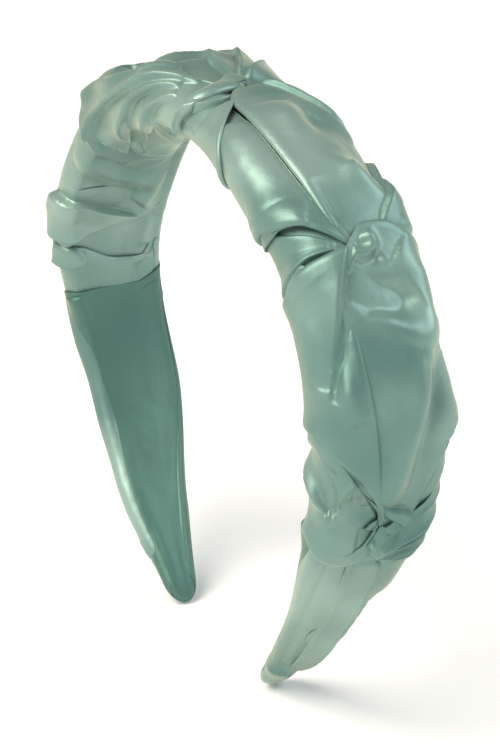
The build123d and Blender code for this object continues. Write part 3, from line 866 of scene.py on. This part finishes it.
# %% [markdown]
# ## Satin
# The cloth is polyester satin, woven with long floats so that it shines, and shot: its two sets of
# threads differ in colour. Seen straight on it is a grey sea green, and where it turns to the light
# its shine is pale gold. A single green with a white gloss would look like plastic. So the gloss
# and the sheen get their own warm tint, and a fine twill line runs at 45 degrees to the strip,
# because a strip that has to drape is cut on the bias.

# %% Node helper and colours
def colour(hex_value):
    """An sRGB hex value as linear red, green, blue and 1."""
    parts = np.array([int(hex_value[k:k + 2], 16) for k in (1, 3, 5)]) / 255
    linear = np.where(parts <= 0.04045, parts / 12.92, ((parts + 0.055) / 1.055) ** 2.4)
    return (*linear.tolist(), 1.0)


def add(tree, kind, settings=None, **links):
    """Adds one node: settings are its own values or input values by name, links its inputs' sources."""
    node = tree.nodes.new(kind)
    for key, value in (settings or {}).items():
        if key in node.inputs:
            node.inputs[key].default_value = value
        else:
            setattr(node, key, value)
    for key, source in links.items():
        tree.links.new(source, node.inputs[key.replace("_", " ")])
    return node


def new_material(name):
    material = bpy.data.materials.new(name)
    material.use_nodes = True
    return material, material.node_tree, material.node_tree.nodes["Principled BSDF"]


print("mid grey in linear light", round(colour("#808080")[0], 3))

# %% Shot satin
TWILL_SPACING = 0.55 * MM  # the real thread is 0.1 mm; it is drawn coarser so that it shows
WAVE_PERIOD = 0.314  # a Wave texture of scale 1 repeats every 0.314 units


def shot_satin(name, ground, light, rough):
    """Satin in a ground colour that drifts to a lighter one over some 30 mm, as shot cloth does,
    with a fine twill bump along its own UV map."""
    material, tree, shader = new_material(name)
    where = add(tree, "ShaderNodeTexCoord")
    drift = add(tree, "ShaderNodeTexNoise", {"Scale": 34.0, "Detail": 2.0, "Roughness": 0.45},
                Vector=where.outputs["Object"])
    mixed = add(tree, "ShaderNodeMix", {"data_type": "RGBA"})
    mixed.inputs[6].default_value, mixed.inputs[7].default_value = colour(ground), colour(light)
    spread = add(tree, "ShaderNodeMapRange", {"From Min": 0.35, "From Max": 0.68, "To Max": 1.0},
                 Value=drift.outputs["Fac"])
    tree.links.new(spread.outputs["Result"], mixed.inputs[0])
    cloth = add(tree, "ShaderNodeUVMap", {"uv_map": "cloth"})
    bias = add(tree, "ShaderNodeMapping", {"Rotation": (0, 0, np.radians(45))}, Vector=cloth.outputs["UV"])
    twill = add(tree, "ShaderNodeTexWave", {"Scale": WAVE_PERIOD / TWILL_SPACING, "Distortion": 0.6,
                                            "Detail": 1.0, "Detail Scale": 0.4}, Vector=bias.outputs["Vector"])
    slub = add(tree, "ShaderNodeTexNoise", {"Scale": 1500.0, "Detail": 1.0}, Vector=where.outputs["Object"])
    grain = add(tree, "ShaderNodeMath", {"operation": "MULTIPLY_ADD"})
    tree.links.new(twill.outputs["Fac"], grain.inputs[0])
    grain.inputs[1].default_value = 0.6
    tree.links.new(slub.outputs["Fac"], grain.inputs[2])
    grained = add(tree, "ShaderNodeBump", {"Strength": 0.2, "Distance": 0.06 * MM},
                  Height=grain.outputs["Value"])
    ease = add(tree, "ShaderNodeTexNoise", {"Scale": 130.0, "Detail": 2.5, "Roughness": 0.5},
               Vector=where.outputs["Object"])
    bump = add(tree, "ShaderNodeBump", {"Strength": 0.5, "Distance": 0.8 * MM}, Height=ease.outputs["Fac"],
               Normal=grained.outputs["Normal"])
    tree.links.new(mixed.outputs[2], shader.inputs["Base Color"])
    tree.links.new(bump.outputs["Normal"], shader.inputs["Normal"])
    gloss = add(tree, "ShaderNodeMapRange", {"To Min": rough - 0.04, "To Max": rough + 0.06},
                Value=slub.outputs["Fac"])
    tree.links.new(gloss.outputs["Result"], shader.inputs["Roughness"])
    shader.inputs["Metallic"].default_value = 0.5
    shader.inputs["IOR"].default_value = 1.55
    shader.inputs["Specular IOR Level"].default_value = 0.7
    shader.inputs["Specular Tint"].default_value = colour("#fff3d0")
    shader.inputs["Sheen Weight"].default_value = 0.5
    shader.inputs["Sheen Roughness"].default_value = 0.35
    shader.inputs["Sheen Tint"].default_value = colour("#e6ecd6")
    return material


STRIP_SATIN = shot_satin("Shot polyester satin", "#5a807c", "#8daaa3", 0.42)
# The facing is the same satin as the strips; its darker, nearly even colours are painted shade for the head
# side of the legs, which turns away from the light.
FACING_SATIN_PAINTED_SHADE = shot_satin("Satin facing with painted shade", "#47706a", "#4f776f", 0.50)
print("satin with a twill line every", TWILL_SPACING / MM, "mm")

# %% [markdown]
# ## Core and wadding
# The core is injection moulded ABS with a plain satin skin from the mould. The wadding is bonded
# polyester fibre, matt and a little uneven. Both are covered all over, but they are still what the
# headband is built on, so they get their real finish.

# %% Moulded plastic and wadding
def moulded_abs():
    """ABS from a fine textured mould: a slight grain in the gloss, and no clear coat."""
    material, tree, shader = new_material("Moulded ABS")
    where = add(tree, "ShaderNodeTexCoord")
    grain = add(tree, "ShaderNodeTexNoise", {"Scale": 900.0, "Detail": 2.0}, Vector=where.outputs["Object"])
    rough = add(tree, "ShaderNodeMapRange", {"To Min": 0.42, "To Max": 0.55}, Value=grain.outputs["Fac"])
    bump = add(tree, "ShaderNodeBump", {"Strength": 0.1, "Distance": 0.05 * MM}, Height=grain.outputs["Fac"])
    tree.links.new(rough.outputs["Result"], shader.inputs["Roughness"])
    tree.links.new(bump.outputs["Normal"], shader.inputs["Normal"])
    shader.inputs["Base Color"].default_value = colour("#dcded8")
    shader.inputs["IOR"].default_value = 1.54
    return material


def bonded_wadding():
    """Bonded fibre: off-white, fully rough, with a fuzzy bump at 1 mm."""
    material, tree, shader = new_material("Bonded polyester wadding")
    where = add(tree, "ShaderNodeTexCoord")
    fibre = add(tree, "ShaderNodeTexNoise", {"Scale": 1000.0, "Detail": 4.0, "Roughness": 0.7},
                Vector=where.outputs["Object"])
    tint = add(tree, "ShaderNodeMix", {"data_type": "RGBA"})
    tint.inputs[6].default_value, tint.inputs[7].default_value = colour("#e6e3da"), colour("#f5f3ee")
    tree.links.new(fibre.outputs["Fac"], tint.inputs[0])
    bump = add(tree, "ShaderNodeBump", {"Strength": 0.5, "Distance": 0.3 * MM}, Height=fibre.outputs["Fac"])
    tree.links.new(tint.outputs[2], shader.inputs["Base Color"])
    tree.links.new(bump.outputs["Normal"], shader.inputs["Normal"])
    shader.inputs["Roughness"].default_value = 0.95
    return material


ABS, WADDING = moulded_abs(), bonded_wadding()
for name, piece in pieces.items():
    piece.data.materials.append(WADDING if name.startswith("wadding") else
                                FACING_SATIN_PAINTED_SHADE if name.startswith("facing") else STRIP_SATIN)
for name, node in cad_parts.items():
    if name.startswith("core"):
        node.data.materials.clear()
        node.data.materials.append(ABS)
print("materials", [material.name for material in (STRIP_SATIN, FACING_SATIN_PAINTED_SHADE, ABS, WADDING)])

# %% [markdown]
# ## Camera, floor and light
# The headband stands on its tips on a white studio floor. A large soft light in front and above
# draws the broad sheen of the satin, a weaker one from behind lights the crown's far edge, and the
# bright surroundings keep the shadows open.

# %% Camera
CAMERA_TURN, CAMERA_RISE, CAMERA_ROLL = 63.46, 19.48, -0.54  # degrees
CAMERA_DISTANCE, CAMERA_LENS, SENSOR_WIDTH = 0.4938, 99.5, 36  # in metres, mm and mm
CAMERA_SHIFT = (0.0332, -0.0176)
LOOK_AT = Vector((0, 0, -0.060))


def from_angles(turn, rise):
    """A direction from the object: turn degrees from the front towards +X, rise degrees up."""
    turn, rise = np.radians(turn), np.radians(rise)
    return Vector((np.sin(turn) * np.cos(rise), -np.cos(turn) * np.cos(rise), np.sin(rise)))


def pointed(thing, place):
    """Puts a camera or light at the place, looking at the middle of the headband."""
    holder = bpy.data.objects.new(thing.name, thing)
    aim = (LOOK_AT - place).to_track_quat("-Z", "Y").to_matrix().to_4x4()
    holder.matrix_world = Matrix.Translation(place) @ aim
    bpy.context.scene.collection.objects.link(holder)
    return holder


lens = bpy.data.cameras.new("Camera")
lens.lens, lens.sensor_width = CAMERA_LENS, SENSOR_WIDTH
lens.shift_x, lens.shift_y = CAMERA_SHIFT
camera = pointed(lens, LOOK_AT + from_angles(CAMERA_TURN, CAMERA_RISE) * CAMERA_DISTANCE)
camera.matrix_world = camera.matrix_world @ Matrix.Rotation(np.radians(CAMERA_ROLL), 4, "Z")
bpy.context.scene.camera = camera
bpy.context.scene.view_settings.view_transform = "Standard"
print("camera at", [round(part, 3) for part in camera.matrix_world.translation])

# %% Floor and light
FLOOR_GAP, FLOOR_REACH = 0.5 * MM, 20.0
KEY_STRENGTH, KEY_SPREAD = 3.5, 50  # the spread in degrees makes its shadows as soft as a large panel's
SKY_LOW, SKY_HIGH = 1.0, 0.3  # the surroundings are bright at the horizon and dimmer overhead


key = bpy.data.lights.new("Key", "SUN")
key.energy, key.angle, key.color = KEY_STRENGTH, np.radians(KEY_SPREAD), colour("#fff8ea")[:3]
pointed(key, LOOK_AT + from_angles(8, 50) * 0.9)
rim = bpy.data.lights.new("Rim", "AREA")
rim.energy, rim.size, rim.color = 3.0, 0.5, colour("#f6faff")[:3]
pointed(rim, LOOK_AT + from_angles(150, 38) * 0.9)

floor_mesh = bpy.data.meshes.new("Floor")
floor_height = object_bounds()[0][2] - FLOOR_GAP
corners = [(-1, -1), (1, -1), (1, 1), (-1, 1)]
floor_mesh.from_pydata([(x * FLOOR_REACH, y * FLOOR_REACH, floor_height) for x, y in corners], [],
                       [(0, 1, 2, 3)])
floor = bpy.data.objects.new("Floor", floor_mesh)
bpy.context.scene.collection.objects.link(floor)
white, white_tree, white_shader = new_material("White studio floor")
white_shader.inputs["Base Color"].default_value = colour("#fbfbfb")
white_shader.inputs["Roughness"].default_value = 0.9
white_shader.inputs["Specular IOR Level"].default_value = 0.1
floor_mesh.materials.append(white)

world = bpy.data.worlds.new("Studio")
world.use_nodes = True
sky = world.node_tree
towards = add(sky, "ShaderNodeTexCoord")
height = add(sky, "ShaderNodeSeparateXYZ", Vector=towards.outputs["Generated"])
dimmer = add(sky, "ShaderNodeMapRange", {"From Min": 0.05, "From Max": 0.35, "To Min": SKY_LOW,
                                              "To Max": SKY_HIGH},
             Value=height.outputs["Z"])
sky.nodes["Background"].inputs["Color"].default_value = colour("#ffffff")
sky.links.new(dimmer.outputs["Result"], sky.nodes["Background"].inputs["Strength"])
bpy.context.scene.world = world
print("floor at", round(floor_height / MM, 1), "mm")
